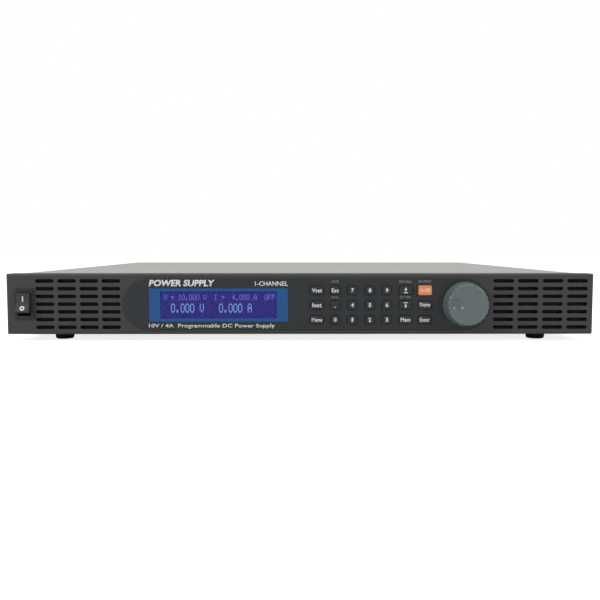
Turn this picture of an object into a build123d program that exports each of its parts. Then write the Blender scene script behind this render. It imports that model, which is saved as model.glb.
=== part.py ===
from build123d import *
from math import atan2, cos, degrees, radians, sin, sqrt, tan
import os

# A bench power supply, one rack unit high. Millimetres: X to the right seen from the front,
# Y from front to back, Z up. The sub-parts are made with y = 0 on the front panel's face and
# z = 0 at its lower edge, and written with the origin on the floor, under the whole object.

# Overall size
panel_width = 421.5
panel_height = 43.6
body_depth = 432.0
foot_height = 5.5

# Sheet-metal case
sheet = 1.2
case_side_inset = 1.0
case_top_drop = 0.6
case_bottom_rise = 0.4
cover_gap = 0.05
bend_radius = 1.5

# Front bezel
bezel_depth = 13.5
bezel_plate = 3.0
bezel_wall = 2.5
bezel_edge_radius = 1.6
bezel_corner_radius = 0.8
boss_radius = 3.4
boss_rim = 9.0

# Vent slots
slot_height = 2.7
slot_pitch = 5.55
slot_margin = 2.4
left_slot_length = 13.4
left_slot_pitch = 15.83
right_slot_length = 14.9
right_slot_pitch = 17.73
slot_end_gap = 1.8
right_slot_edge = 3.4

# Raised control panel
panel_margin = 3.2
panel_left = 127.3
panel_right = 136.7
panel_proud = 1.0
panel_thickness = 2.5
panel_edge_radius = 0.45
controls_drop = 0.6

# Display
window_width = 99.9
window_height = 24.2
window_sink = 0.1
screen_width = 83.8
screen_height = 19.9
glass_border = 2.0
glass_thickness = 1.9
lcd_rim = 5.5

# Keys
keypad_start = 20.6
column_steps = [13.1, 12.3, 12.5, 12.2, 13.4, 13.9]
row_pitch = 10.55
number_key = (6.1, 6.0)
wide_key = (9.3, 5.8)
output_key = (9.7, 7.0)
key_corner = 1.1
key_proud = 1.4
key_edge_radius = 0.5
key_gap = 0.3
key_travel = 1.2
key_stop_gap = 0.05
key_flange = 1.0
key_plunger_radius = 1.75
mat_thickness = 1.0
mat_margin = 3.2

# Front board
board_front = 6.6
board_thickness = 1.6
board_left = 115.0
board_right = 130.0
board_edge = 2.0
stake_radius = 2.0
stake_pin_radius = 1.2

# Knob and encoder
knob_base_radius = 16.25
knob_front_radius = 14.5
knob_gap = 1.0
knob_reach = 13.0
knob_wall = 2.0
knob_face = 3.0
knob_edge_radius = 1.6
scallop_count = 24
scallop_radius = 2.0
scallop_depth = 0.5
scallop_runout = 0.1
dimple_radius = 4.8
dimple_depth = 2.0
dimple_offset = 7.9
shaft_radius = 3.0
shaft_flat = 1.5
shaft_clearance = 0.05
push_travel = 0.6
encoder_size = 14.0
encoder_depth = 5.0
bushing_radius = shaft_radius + 0.5
shaft_collar = 0.7
collar_well = 2 * (shaft_radius + shaft_collar) + 0.8

# Mains rocker switch
switch_inset = 13.05
switch_flange = (13.6, 21.8)
switch_flange_thickness = 1.4
switch_body = (12.9, 20.4)
switch_body_depth = 20.0
switch_window = (9.8, 16.6)
switch_well_depth = 9.0
rocker_width = 9.3
rocker_gap = 0.2
rocker_draft = 0.45
rocker_tilt = 11.0
rocker_pivot = 2.5
rocker_proud = 4.0
trunnion_radius = 1.25

# Fans
fan_count = 3
fan_spacing = 8.0
fan_depth = 28.0
fan_play = 0.1
fan_wall = 1.0
fan_screw_inset = 4.0
blade_count = 7
blade_tip_gap = 0.6
hub_radius = 10.0
rotor_shaft_radius = 1.5
guard_width = 1.5
guard_thickness = 1.2
guard_rings = (0.36, 0.62, 0.88)

# Rear connectors
inlet_flange = (31.0, 24.4)
inlet_body = (27.0, 20.0)
inlet_recess = (24.0, 16.2)
inlet_depth = 24.0
ports_width = 52.0
ports_rise = 9.5
sense_size = (22.0, 11.0)
output_flange = (76.0, 32.0)
output_nose = (66.0, 24.0)
bar_width = 20.0
bar_thickness = 4.0
bar_pitch = 36.0
bar_hole_radius = 3.25
output_reach = 30.0
stud_radius = 2.0
stud_reach = 12.0
stud_tip_radius = 1.75
stud_shoulder = 0.5
stud_washer = 0.8
stud_nut_top = 4.0

# Inside
board_height = 5.0
board_side_gap = 8.0
main_board_front = 28.0
main_board_rear = 34.0
part_gap = 3.6
capacitor_count = 4
capacitor_length = 50.0
heatsink_width = 28.0
transformer_size = (50.0, 44.0)
choke_radius = 22.0
ribbon_width = 26.0
ribbon_thickness = 1.0
connector_height = 8.0

# Feet and fasteners
foot_inset = 35.0
front_foot_y = 20.8
rear_foot_inset = 40.0
foot_top_radius = 7.25
foot_base_radius = 6.4
screw_radius = 1.5
screw_length = 8.0
flat_head_radius = 2.7
pan_head_radius = 2.75
pan_head_height = 1.8
ear_hole_radius = 1.65
ear_clearance_radius = 2.25
ear_spacing = (30.0, 20.0)
ear_front = 42.0

# Planes and spaces that the sizes above make
mid_z = panel_height / 2
controls_z = mid_z - controls_drop
case_half = panel_width / 2 - case_side_inset
case_top = panel_height - case_top_drop
case_bottom = case_bottom_rise
lid_under = case_top - sheet
floor_top = case_bottom + sheet
tray_half = case_half - sheet - cover_gap
room_half = tray_half - sheet
room_front = bezel_depth + sheet
room_rear = body_depth - sheet
room_height = lid_under - floor_top
room_z = (lid_under + floor_top) / 2
panel_face = -panel_proud
panel_back = panel_thickness - panel_proud
panel_round = mid_z - panel_margin
panel_x = (panel_right - panel_left) / 2
window_x = -panel_left + panel_round + window_width / 2
knob_x = panel_right - panel_round
switch_x = switch_inset - panel_width / 2
key_stop = bezel_plate + key_stop_gap
key_back = key_stop + key_flange
contact_y = board_front - key_travel - key_stop_gap
board_back = board_front + board_thickness
board_under = floor_top + board_height
board_top = board_under + board_thickness
headroom = lid_under - board_top
main_front = room_front + main_board_front
main_rear = room_rear - main_board_rear
main_half = room_half - board_side_gap
knob_front = -knob_reach


def spread(widths, room, middle=0.0):
    """Centres of things of these widths, with equal gaps across a room."""
    gap = (room - sum(widths)) / (len(widths) + 1)
    centres = []
    edge = middle - room / 2
    for width in widths:
        centres.append(edge + gap + width / 2)
        edge += gap + width
    return centres


# Places along the rear wall, from left to right seen from the front
fan_size = room_height - 2 * fan_play
fan_bore = fan_size / 2 - fan_wall
fan_bank = fan_count * fan_size + (fan_count - 1) * fan_spacing
rear_widths = [inlet_flange[0], 10.0, fan_bank, ports_width, sense_size[0], output_flange[0]]
inlet_x, stud_x, fan_bank_x, ports_x, sense_x, output_x = spread(rear_widths, 2 * room_half)
fan_step = fan_size + fan_spacing
fan_places = [fan_bank_x + (n - (fan_count - 1) / 2) * fan_step for n in range(fan_count)]
fan_hole = fan_size / 2 - fan_screw_inset
low_port_z = room_z - ports_rise
high_port_z = room_z + ports_rise

# The keys, column by column and from the top row down
key_layout = [
    (wide_key, ["vset", "iset", "menu"]),
    (number_key, ["esc", "dot", "0"]),
    (number_key, ["7", "4", "1"]),
    (number_key, ["8", "5", "2"]),
    (number_key, ["9", "6", "3"]),
    (wide_key, ["recall", "store", "mem"]),
    (wide_key, ["output", "display", "enter"]),
]


def key_places():
    """Each key's name, centre and size."""
    x = window_x + window_width / 2 + keypad_start
    places = []
    for column, (size, names) in enumerate(key_layout):
        if column:
            x += column_steps[column - 1]
        for row, name in enumerate(names):
            key_size = output_key if name == "output" else size
            places.append((name, x, controls_z + (1 - row) * row_pitch, key_size))
    return places


keys = key_places()
keypad_left = keys[0][1] - wide_key[0] / 2 - mat_margin
keypad_right = keys[-1][1] + output_key[0] / 2 + mat_margin
boss_places = [
    (x, z)
    for x in (-board_left - boss_radius - 0.6, board_right + boss_radius + 0.6)
    for z in (boss_rim, panel_height - boss_rim)
]
stake_places = [
    (x, mid_z + side * (mid_z - boss_rim))
    for x in (-board_left + 2.6, window_x + window_width / 2 + 9.2, board_right - 2.6)
    for side in (-1, 1)
]
foot_places = [
    (side * (panel_width / 2 - foot_inset), y)
    for side in (-1, 1)
    for y in (front_foot_y, body_depth - rear_foot_inset)
]
standoff_places = [
    (x, y)
    for x in (-main_half + 8, 0, main_half - 8)
    for y in (main_front + 8, main_rear - 8)
]
cover_screw_places = [(y, room_z) for y in (80.0, body_depth / 2, body_depth - 50.0)]
ear_places = [
    (ear_front + side * ear_spacing[0] / 2, room_z + level * ear_spacing[1] / 2)
    for side in (-1, 1)
    for level in (-1, 1)
]


# Shared shapes
def block(x0, x1, y0, y1, z0, z1):
    """A box between two corners."""
    middle = Pos((x0 + x1) / 2, (y0 + y1) / 2, (z0 + z1) / 2)
    return middle * Box(x1 - x0, y1 - y0, z1 - z0)


def plate(outline, y0, y1):
    """An outline drawn as seen from the front, thickened from y0 back to y1."""
    return extrude(Plane.XZ.offset(-y1) * outline, y1 - y0)


def rounded(x, z, width, height, radius):
    return Pos(x, z) * RectangleRounded(width, height, radius)


def rod(x, z, radius, y0, y1):
    """A round rod along the depth."""
    return Pos(x, (y0 + y1) / 2, z) * Rot(90, 0, 0) * Cylinder(radius, y1 - y0)


def cone(x, z, radius0, radius1, y0, y1):
    """A cone along the depth, with radius0 at y0 and radius1 at y1."""
    return Pos(x, (y0 + y1) / 2, z) * Rot(-90, 0, 0) * Cone(radius0, radius1, y1 - y0)


def upright(x, y, radius, z0, z1):
    return Pos(x, y, (z0 + z1) / 2) * Cylinder(radius, z1 - z0)


def edges_at(shape, axis, place):
    """The edges that lie in one plane across an axis."""
    return shape.edges().filter_by_position(axis, place - 0.001, place + 0.001)


def flat_head_screw():
    """A countersunk screw along +Z, with its head's face at z = 0."""
    head = Pos(0, 0, sheet / 2) * Cone(flat_head_radius, screw_radius, sheet)
    shank = Pos(0, 0, screw_length / 2) * Cylinder(screw_radius, screw_length)
    slot = Box(2 * flat_head_radius - 1.6, 0.7, 1.2)
    return head + shank - slot - Rot(0, 0, 90) * slot


def flat_head_sink():
    return Pos(0, 0, sheet / 2) * Cone(flat_head_radius, screw_radius, sheet)


def pan_head_screw(length):
    """A pan-head screw along +Z, whose head seats at z = 0."""
    head = Pos(0, 0, -pan_head_height / 2) * Cylinder(pan_head_radius, pan_head_height)
    head = fillet(edges_at(head, Axis.Z, -pan_head_height), 0.7)
    slot = Pos(0, 0, -pan_head_height) * Box(2 * pan_head_radius - 2, 0.7, 1.6)
    shank = Pos(0, 0, length / 2) * Cylinder(screw_radius, length)
    return head + shank - slot - Rot(0, 0, 90) * slot


# Case
def case_side_place(side, y, z):
    """Where a side screw's head lies, with its shank pointing inwards."""
    return Pos(side * case_half, y, z) * Rot(0, -side * 90, 0)


def bottom_chassis():
    tray = block(-tray_half, tray_half, bezel_depth, body_depth, case_bottom, lid_under - cover_gap)
    low_edges = edges_at(tray, Axis.Z, case_bottom).filter_by(Axis.Y)
    tray = fillet(low_edges, bend_radius)
    tray -= block(-room_half, room_half, room_front, room_rear, floor_top, panel_height)
    tray -= front_wall_openings()
    tray -= rear_wall_openings()
    for x, y in foot_places:
        tray -= upright(x, y, screw_radius, case_bottom, floor_top)
    for side in (-1, 1):
        for y, z in cover_screw_places:
            tray -= case_side_place(side, y, z) * Cylinder(screw_radius, 8 * sheet)
        for y, z in ear_places:
            tray -= case_side_place(side, y, z) * Cylinder(ear_hole_radius, 8 * sheet)
    return tray


def front_wall_openings():
    """Air, switch and harness openings, and the bezel screws' sunk holes."""
    low = boss_rim - boss_radius - 2.0
    high = panel_height - low
    air_left = switch_x - switch_body[0] / 2 - 1.0
    air_right = min(panel_width / 2 - right_slot_edge, room_half) - 1.0
    cut = block(air_left, -panel_left - 1.0, bezel_depth, room_front, low, high)
    cut += block(panel_right + 1.6, air_right, bezel_depth, room_front, low, high)
    harness_x = (keypad_left + keypad_right) / 2
    half = ribbon_width / 2 + 3.0
    cut += block(harness_x - half, harness_x + half, bezel_depth, room_front, low, high - 4)
    for x, z in boss_places:
        cut += Pos(x, room_front, z) * Rot(90, 0, 0) * flat_head_sink()
    return cut


def rear_wall_openings():
    y0 = room_rear
    y1 = body_depth
    cut = plate(rounded(inlet_x, room_z, inlet_body[0] + 0.2, inlet_body[1] + 0.2, 2.1), y0, y1)
    cut += rod(stud_x, room_z, stud_radius, y0, y1)
    for x in fan_places:
        cut += rod(x, room_z, fan_bore, y0, y1)
        for dx, dz in fan_corners():
            cut += rod(x + dx, room_z + dz, screw_radius + 0.1, y0, y1)
    for x, z, width, height in port_windows():
        cut += plate(rounded(x, z, width, height, 0.8), y0, y1)
    for dx in (-12.5, 12.5):
        cut += rod(ports_x + dx, low_port_z, 1.6, y0, y1)
    cut += plate(rounded(sense_x, room_z, sense_size[0] + 0.4, sense_size[1] + 0.4, 0.5), y0, y1)
    cut += plate(rounded(output_x, room_z, output_nose[0], output_nose[1], 2.0), y0, y1)
    return cut


def fan_corners():
    return [(dx, dz) for dx in (-fan_hole, fan_hole) for dz in (-fan_hole, fan_hole)]


def port_windows():
    """Rear wall windows: centre, width and height of each."""
    return [
        (ports_x, low_port_z, 17.2, 9.2),
        (ports_x - 17.5, high_port_z, 16.2, 13.4),
        (ports_x, high_port_z, 16.2, 13.4),
        (ports_x + 17.5, high_port_z, 12.2, 11.2),
    ]


def top_cover():
    cover = block(-case_half, case_half, bezel_depth, body_depth, case_bottom, case_top)
    cover = fillet(edges_at(cover, Axis.Z, case_top).filter_by(Axis.Y), bend_radius + 0.3)
    inside = case_half - sheet
    cover -= block(-inside, inside, bezel_depth, body_depth, case_bottom, lid_under)
    for side in (-1, 1):
        for y, z in cover_screw_places:
            cover -= case_side_place(side, y, z) * flat_head_sink()
        for y, z in ear_places:
            cover -= case_side_place(side, y, z) * Cylinder(ear_clearance_radius, 2 * sheet)
    return cover


def case_screws():
    """The countersunk screws of the cover and, from inside, of the bezel."""
    screws = [
        case_side_place(side, y, z) * flat_head_screw()
        for side in (-1, 1)
        for y, z in cover_screw_places
    ]
    for x, z in boss_places:
        screws.append(Pos(x, room_front, z) * Rot(90, 0, 0) * flat_head_screw())
    return Compound(children=screws)


def feet():
    base = case_bottom - foot_height
    solids = []
    for x, y in foot_places:
        foot = Pos(x, y, base + foot_height / 2) * Cone(foot_base_radius, foot_top_radius, foot_height)
        foot = fillet(edges_at(foot, Axis.Z, base), 1.2)
        foot -= upright(x, y, pan_head_radius + 0.8, base, base + pan_head_height + 1.2)
        foot -= upright(x, y, screw_radius + 0.2, base, case_bottom)
        solids.append(foot)
    return Compound(children=solids)


def foot_screws():
    seat = case_bottom - foot_height + pan_head_height + 1.2
    length = floor_top + 2.4 - seat
    return Compound(children=[Pos(x, y, seat) * pan_head_screw(length) for x, y in foot_places])


# Front bezel
def slot_rows():
    """Heights of the vent rows, centred on the panel."""
    field = panel_height - 2 * slot_margin - slot_height
    count = int(field / slot_pitch + 0.1) + 1
    return [mid_z + (n - (count - 1) / 2) * slot_pitch for n in range(count)]


def slot_columns(start, end, length, pitch):
    """Centres of the slots that fit between two edges, started from the inner one."""
    step = pitch if end > start else -pitch
    reach = abs(end - start)
    count = int((reach + pitch - length + 0.2) / pitch)
    return [start + step * (n + length / pitch / 2) for n in range(count)]


def vent_slots():
    switch_edge = switch_x + switch_flange[0] / 2
    left = slot_columns(-panel_left - slot_end_gap, switch_edge, left_slot_length, left_slot_pitch)
    outer = panel_width / 2 - right_slot_edge
    right = slot_columns(panel_right + slot_end_gap, outer, right_slot_length, right_slot_pitch)
    slots = [
        Pos(x, z) * SlotOverall(length, slot_height)
        for columns, length in ((left, left_slot_length), (right, right_slot_length))
        for x in columns
        for z in slot_rows()
    ]
    return plate(Sketch() + slots, 0, bezel_plate)


def key_holes(y0, y1):
    holes = [
        rounded(x, z, size[0] + 2 * key_gap, size[1] + 2 * key_gap, key_corner + key_gap)
        for name, x, z, size in keys
    ]
    return plate(Sketch() + holes, y0, y1)


def front_bezel():
    half = panel_width / 2
    bezel = block(-half, half, 0, bezel_depth, 0, panel_height)
    bezel = fillet(bezel.edges().filter_by(Axis.Y), bezel_corner_radius)
    bezel = fillet(edges_at(bezel, Axis.Y, 0), bezel_edge_radius)
    inside = half - bezel_wall
    cavity_top = panel_height - bezel_wall
    bezel -= block(-inside, inside, bezel_plate, bezel_depth, bezel_wall, cavity_top)
    bezel -= plate(panel_outline(0), 0, panel_back)
    screen = rounded(window_x, controls_z, screen_width, screen_height, 0.5)
    bezel -= plate(screen, panel_back, bezel_plate)
    bezel -= key_holes(panel_back, bezel_plate)
    bezel -= rod(knob_x, mid_z, shaft_radius + 0.7, panel_back, bezel_plate)
    bezel -= plate(rounded(switch_x, mid_z, switch_body[0] + 0.2, switch_body[1] + 0.2, 0.6), 0, bezel_plate)
    bezel -= vent_slots()
    for x, z in boss_places:
        bezel += rod(x, z, boss_radius, bezel_plate, bezel_depth)
        bezel -= rod(x, z, screw_radius, room_front - screw_length, bezel_depth)
    for x, z in stake_places:
        bezel += rod(x, z, stake_radius, bezel_plate, board_front)
        bezel += rod(x, z, stake_pin_radius, board_front, board_back)
        bezel += cone(x, z, stake_pin_radius + 0.6, stake_pin_radius - 0.2, board_back, board_back + 0.8)
    return bezel


def panel_outline(gap):
    """The long outline with round ends, drawn in by a gap."""
    length = panel_left + panel_right - 2 * gap
    return Pos(panel_x, mid_z) * SlotOverall(length, 2 * (panel_round - gap))


def control_panel():
    panel = plate(panel_outline(0.05), panel_face, panel_back)
    panel = fillet(edges_at(panel, Axis.Y, panel_face), panel_edge_radius)
    panel -= plate(rounded(window_x, controls_z, window_width, window_height, 0.6), panel_face, panel_back)
    panel -= key_holes(panel_face, panel_back)
    panel -= rod(knob_x, mid_z, shaft_radius + 0.7, panel_face, panel_back)
    return panel


# Display
def display_window():
    outline = rounded(window_x, controls_z, window_width - 0.1, window_height - 0.1, 0.6)
    return plate(outline, panel_face + window_sink, panel_back)


def lcd_module():
    """The liquid-crystal glass in front of its own framed board."""
    width = screen_width + 2 * glass_border
    height = screen_height + 2 * glass_border
    glass_back = bezel_plate + glass_thickness
    glass = plate(rounded(window_x, controls_z, width, height, 0.3), bezel_plate, glass_back)
    frame = plate(
        rounded(window_x, controls_z, width + 2 * lcd_rim, height + lcd_rim / 2, 1.0),
        glass_back,
        board_front,
    )
    return Compound(children=[glass, frame])


# Keys and front board
def keypad_mat():
    centre = (keypad_left + keypad_right) / 2
    height = 2 * row_pitch + output_key[1] + 2 * mat_margin
    outline = rounded(centre, controls_z, keypad_right - keypad_left, height, 1.5)
    mat = plate(outline, board_front - mat_thickness, board_front)
    for name, x, z, size in keys:
        mat -= rod(x, z, key_plunger_radius + 0.6, board_front - mat_thickness, board_front)
    return mat


def key_cap(x, z, size):
    """One key: its cap, the flange that keeps it in and the plunger behind."""
    width, height = size
    cap = plate(rounded(x, z, width, height, key_corner), panel_face - key_proud, key_stop)
    cap = fillet(edges_at(cap, Axis.Y, panel_face - key_proud), key_edge_radius)
    outline = rounded(x, z, width + 2 * key_flange, height + 2 * key_flange, key_corner)
    flange = plate(outline, key_stop, key_back)
    return cap + flange + rod(x, z, key_plunger_radius, key_back, contact_y)


def front_board():
    low = bezel_wall + board_edge
    high = panel_height - low
    board = block(-board_left, board_right, board_front, board_back, low, high)
    for x, z in stake_places:
        board -= rod(x, z, stake_pin_radius, board_front, board_back)
    board -= rod(knob_x, mid_z, bushing_radius, board_front, board_back)
    harness_x = (keypad_left + keypad_right) / 2
    half = ribbon_width / 2 + 1.5
    front_level = ribbon_level()
    socket = block(harness_x - half, harness_x + half, board_back, 13.0, front_level - 3, front_level + 3)
    return board + socket


def ribbon_level():
    """Height at which the ribbon leaves the front board."""
    return board_top + connector_height + 9.0


def ribbon_cable():
    """The flat cable from the front board's socket down into the main board's."""
    harness_x = (keypad_left + keypad_right) / 2
    start = (harness_x, 13.0, ribbon_level())
    corner = (harness_x, main_front + 8.0, ribbon_level())
    end = (harness_x, main_front + 8.0, board_top + connector_height)
    route = FilletPolyline(start, corner, end, radius=6.0)
    section = Plane(origin=start, x_dir=(1, 0, 0), z_dir=(0, 1, 0)) * Rectangle(ribbon_width, ribbon_thickness)
    return sweep(section, route)


# Knob and encoder
def knob():
    base = -panel_proud - knob_gap
    body = cone(0, 0, knob_front_radius, knob_base_radius, knob_front, base)
    body = fillet(edges_at(body, Axis.Y, knob_front), knob_edge_radius)
    front_middle = knob_front_radius - scallop_depth + scallop_radius
    base_middle = knob_base_radius + scallop_runout + scallop_radius
    lean = degrees(atan2(base_middle - front_middle, base - knob_front))
    groove = Pos((front_middle + base_middle) / 2, (base + knob_front) / 2, 0) * Rot(90, 0, 0)
    groove *= Rot(0, -lean, 0) * Cylinder(scallop_radius, 2 * knob_reach)
    for n in range(scallop_count):
        body -= Rot(0, n * 360 / scallop_count, 0) * groove
    inner = knob_front + knob_face
    shell = (knob_base_radius + knob_front_radius) / 2 - knob_wall - scallop_depth
    hollow = rod(0, 0, shell, inner, base) - rod(0, 0, shaft_radius + 2.2, inner, base)
    body -= hollow
    body -= knob_bore(0)
    ball = (dimple_radius ** 2 + dimple_depth ** 2) / (2 * dimple_depth)
    body -= Pos(-dimple_offset, knob_front - ball + dimple_depth, 0.3) * Sphere(ball)
    return Pos(knob_x, 0, mid_z) * body


def knob_bore(gap):
    """The D-shaped hole for the shaft, from the knob's base to behind its face."""
    base = -panel_proud - knob_gap
    deep = knob_front + knob_face
    hole = rod(0, 0, shaft_radius + gap, deep, base)
    return hole - block(shaft_flat + gap, 2 * shaft_radius, deep, base, -shaft_radius, shaft_radius)


def encoder_shaft():
    """The shaft in the knob, with the collar that keeps it in the encoder."""
    collar_front = board_back + 2.0
    shaft = rod(0, 0, shaft_radius, -2.0, collar_front)
    shaft += knob_bore(0)
    shaft += rod(0, 0, shaft_radius + shaft_collar, collar_front, collar_front + 0.9)
    return Pos(knob_x, 0, mid_z) * shaft


def encoder_body():
    """The encoder's housing and bushing, hollow for the collar and the pusher."""
    back = board_back + encoder_depth
    body = plate(rounded(0, 0, encoder_size, encoder_size, 0.8), board_back, back)
    body += rod(0, 0, bushing_radius, bezel_plate + 0.2, board_back)
    well = plate(rounded(0, 0, collar_well, collar_well, 0.3), board_back + 1.9, back - 0.4)
    body -= well
    body -= rod(0, 0, shaft_radius + shaft_clearance, bezel_plate, board_back + 2.0)
    return Pos(knob_x, 0, mid_z) * body


def encoder_pusher():
    """The square plate that the pushed shaft presses."""
    front = board_back + 2.95
    pad_size = collar_well - 0.4
    pad = plate(rounded(0, 0, pad_size, pad_size, 0.3), front, front + 0.8)
    return Pos(knob_x, 0, mid_z) * pad


# Mains switch
def switch_housing():
    flange = plate(rounded(0, 0, *switch_flange, 1.2), -switch_flange_thickness, 0)
    flange = fillet(edges_at(flange, Axis.Y, -switch_flange_thickness), 0.4)
    body = flange + plate(rounded(0, 0, *switch_body, 0.5), 0, switch_body_depth)
    well = rounded(0, 0, *switch_window, 0.4)
    body -= plate(well, -switch_flange_thickness, switch_well_depth)
    pin_length = rocker_width + 3.0
    hole = Rot(0, 90, 0) * Cylinder(trunnion_radius + 0.05, pin_length)
    body -= Pos(0, rocker_pivot, 0) * hole
    for z in (-6.0, 6.0):
        body += block(-2.4, 2.4, switch_body_depth, switch_body_depth + 8.0, z - 0.4, z + 0.4)
    return Pos(switch_x, 0, mid_z) * body


def rocker():
    """The rocker about its pivot, tilted to the on position: its top half pressed in."""
    centre_front = -rocker_pivot - rocker_proud
    tilt = radians(rocker_tilt)
    mouth = rocker_pivot + switch_flange_thickness
    waist = (switch_window[1] / 2 - rocker_gap - mouth * tan(tilt)) * cos(tilt)
    face_half = waist - rocker_draft
    corner_front = centre_front - face_half * tan(tilt)
    half_side = [
        (corner_front, face_half),
        (-mouth - 1.2, waist),
        (-2.0, waist),
        (1.0, waist - 3.5),
        (1.0, 1.6),
        (4.0, 1.2),
    ]
    other_side = [(y, -z) for y, z in reversed(half_side)]
    side = Plane.YZ * make_face(Polyline((centre_front, 0), *half_side, *other_side, close=True))
    body = extrude(side, rocker_width / 2, both=True)
    pin_length = rocker_width + 2.6
    body += Rot(0, 90, 0) * Cylinder(trunnion_radius, pin_length)
    return Pos(switch_x, rocker_pivot, mid_z) * Rot(-rocker_tilt, 0, 0) * body


# Fans
def fan_frame():
    """One fan's square frame, with its hub plate on four struts, at its own centre."""
    half = fan_size / 2
    y0 = -fan_depth
    frame = plate(rounded(0, 0, fan_size, fan_size, 1.5), y0, 0)
    frame -= rod(0, 0, fan_bore, y0, 0)
    for dx, dz in fan_corners():
        frame -= rod(dx, dz, screw_radius, y0, 0)
    frame += rod(0, 0, hub_radius, -3.0, 0)
    for turn in range(4):
        frame += Rot(0, 45 + 90 * turn, 0) * block(hub_radius - 1, half - 0.6, -3.0, -0.5, -1.2, 1.2)
    return frame - rod(0, 0, rotor_shaft_radius + 0.05, -3.0, 0)


def fan_rotor():
    """One fan's hub, blades and shaft, at the frame's centre."""
    front = -fan_depth + 1.5
    back = -4.0
    hub = rod(0, 0, hub_radius, front, back)
    hub = fillet(edges_at(hub, Axis.Y, front), 1.5)
    middle = (front + back) / 2
    tip = fan_bore - blade_tip_gap
    blade = Pos(tip / 2 + 2, middle, 0) * Rot(38, 0, 0) * Box(tip, back - front, 1.0)
    ring = rod(0, 0, tip, front + 0.8, back - 0.8) - rod(0, 0, hub_radius - 1, front, back)
    blade &= ring
    for n in range(blade_count):
        hub += Rot(0, n * 360 / blade_count, 0) * blade
    return hub + rod(0, 0, rotor_shaft_radius, back, -0.6)


def fan_guard():
    """One stamped finger guard: flat rings on four spokes that end in screw eyes."""
    half = guard_width / 2
    guard = rod(0, 0, 3.0, 0, guard_thickness)
    for share in guard_rings:
        radius = fan_bore * share
        guard += rod(0, 0, radius + half, 0, guard_thickness) - rod(0, 0, radius - half, 0, guard_thickness)
    reach = fan_hole * sqrt(2) - screw_radius - 0.6
    for turn in range(4):
        guard += Rot(0, 45 + 90 * turn, 0) * block(2.0, reach, 0, guard_thickness, -half, half)
    for dx, dz in fan_corners():
        guard += rod(dx, dz, screw_radius + 1.6, 0, guard_thickness)
        guard -= rod(dx, dz, screw_radius + 0.1, 0, guard_thickness)
    return guard


def fans(shape, y):
    """A copy of one piece at each fan."""
    return [Pos(x, y, room_z) * shape for x in fan_places]


def fan_screws():
    screws = []
    seat = body_depth + guard_thickness
    for x in fan_places:
        for dx, dz in fan_corners():
            place = Pos(x + dx, seat, room_z + dz) * Rot(90, 0, 0)
            screws.append(place * pan_head_screw(seat - room_rear + 8.0))
    return Compound(children=screws)


# Rear connectors
def ac_inlet():
    """The mains inlet, with its socket open to the rear and three blades in it."""
    front = body_depth - inlet_depth
    body = plate(rounded(0, 0, *inlet_body, 2.0), front, body_depth)
    body += plate(rounded(0, 0, *inlet_flange, 3.0), body_depth, body_depth + 2.2)
    width, height = inlet_recess
    cut = 4.5
    socket = make_face(
        Polyline(
            (-width / 2, -height / 2),
            (width / 2, -height / 2),
            (width / 2, height / 2 - cut),
            (width / 2 - cut, height / 2),
            (-width / 2 + cut, height / 2),
            (-width / 2, height / 2 - cut),
            close=True,
        )
    )
    body -= plate(socket, body_depth - 13.0, body_depth + 2.2)
    for x, z in ((-7.0, -1.5), (7.0, -1.5), (0, 2.6)):
        body += block(x - 1, x + 1, body_depth - 13.0, body_depth - 1, z - 2, z + 2)
        body += block(x - 0.4, x + 0.4, front - 7.0, front, z - 2, z + 2)
    return Pos(inlet_x, 0, room_z) * body


def ground_stud():
    """Stud with its inner head, washer and nut."""
    shoulder = body_depth + stud_nut_top + stud_shoulder
    stud = rod(0, 0, stud_radius, room_rear - 1, shoulder)
    stud += rod(0, 0, stud_tip_radius, shoulder, body_depth + stud_reach)
    head = plate(RegularPolygon(4.0, 6), room_rear - 3, room_rear)
    washer = rod(0, 0, 4.5, body_depth, body_depth + stud_washer)
    washer -= rod(0, 0, stud_radius, body_depth, body_depth + stud_washer)
    nut = plate(RegularPolygon(4.04, 6), body_depth + stud_washer, body_depth + stud_nut_top)
    nut -= rod(0, 0, stud_radius, body_depth, body_depth + stud_reach)
    place = Pos(stud_x, 0, room_z)
    return Compound(children=[place * (stud + head), place * washer, place * nut])


def interface_board():
    high = room_z + ports_rise + 7.5
    low = room_z - ports_rise - 6.5
    back = room_rear - 14.0
    return block(ports_x - ports_width / 2, ports_x + ports_width / 2, back - 1.6, back, low, high)


def port_shell(x, z, width, height, recess, depth, proud):
    """A connector from the interface board out through the rear wall."""
    shell = plate(rounded(x, z, width, height, 0.6), room_rear - 14.0, body_depth + proud)
    hollow = rounded(x, z, *recess, 0.4)
    return shell - plate(hollow, body_depth + proud - depth, body_depth + proud)


def usb_port():
    x = ports_x + 17.5
    port = port_shell(x, high_port_z, 12.0, 11.0, (8.6, 8.0), 9.0, 0.6)
    return port + block(x - 2.8, x + 2.8, body_depth - 8.4, body_depth - 1.0, high_port_z - 1.6, high_port_z + 1.6)


def data_jacks():
    jacks = []
    for x in (ports_x - 17.5, ports_x):
        jack = port_shell(x, high_port_z, 16.0, 13.2, (11.8, 8.0), 12.0, 0.6)
        latch = plate(rounded(x, high_port_z - 4.4, 5.0, 2.4, 0.3), body_depth - 11.4, body_depth + 0.6)
        jack -= latch
        jacks.append(jack)
    return Compound(children=jacks)


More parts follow.
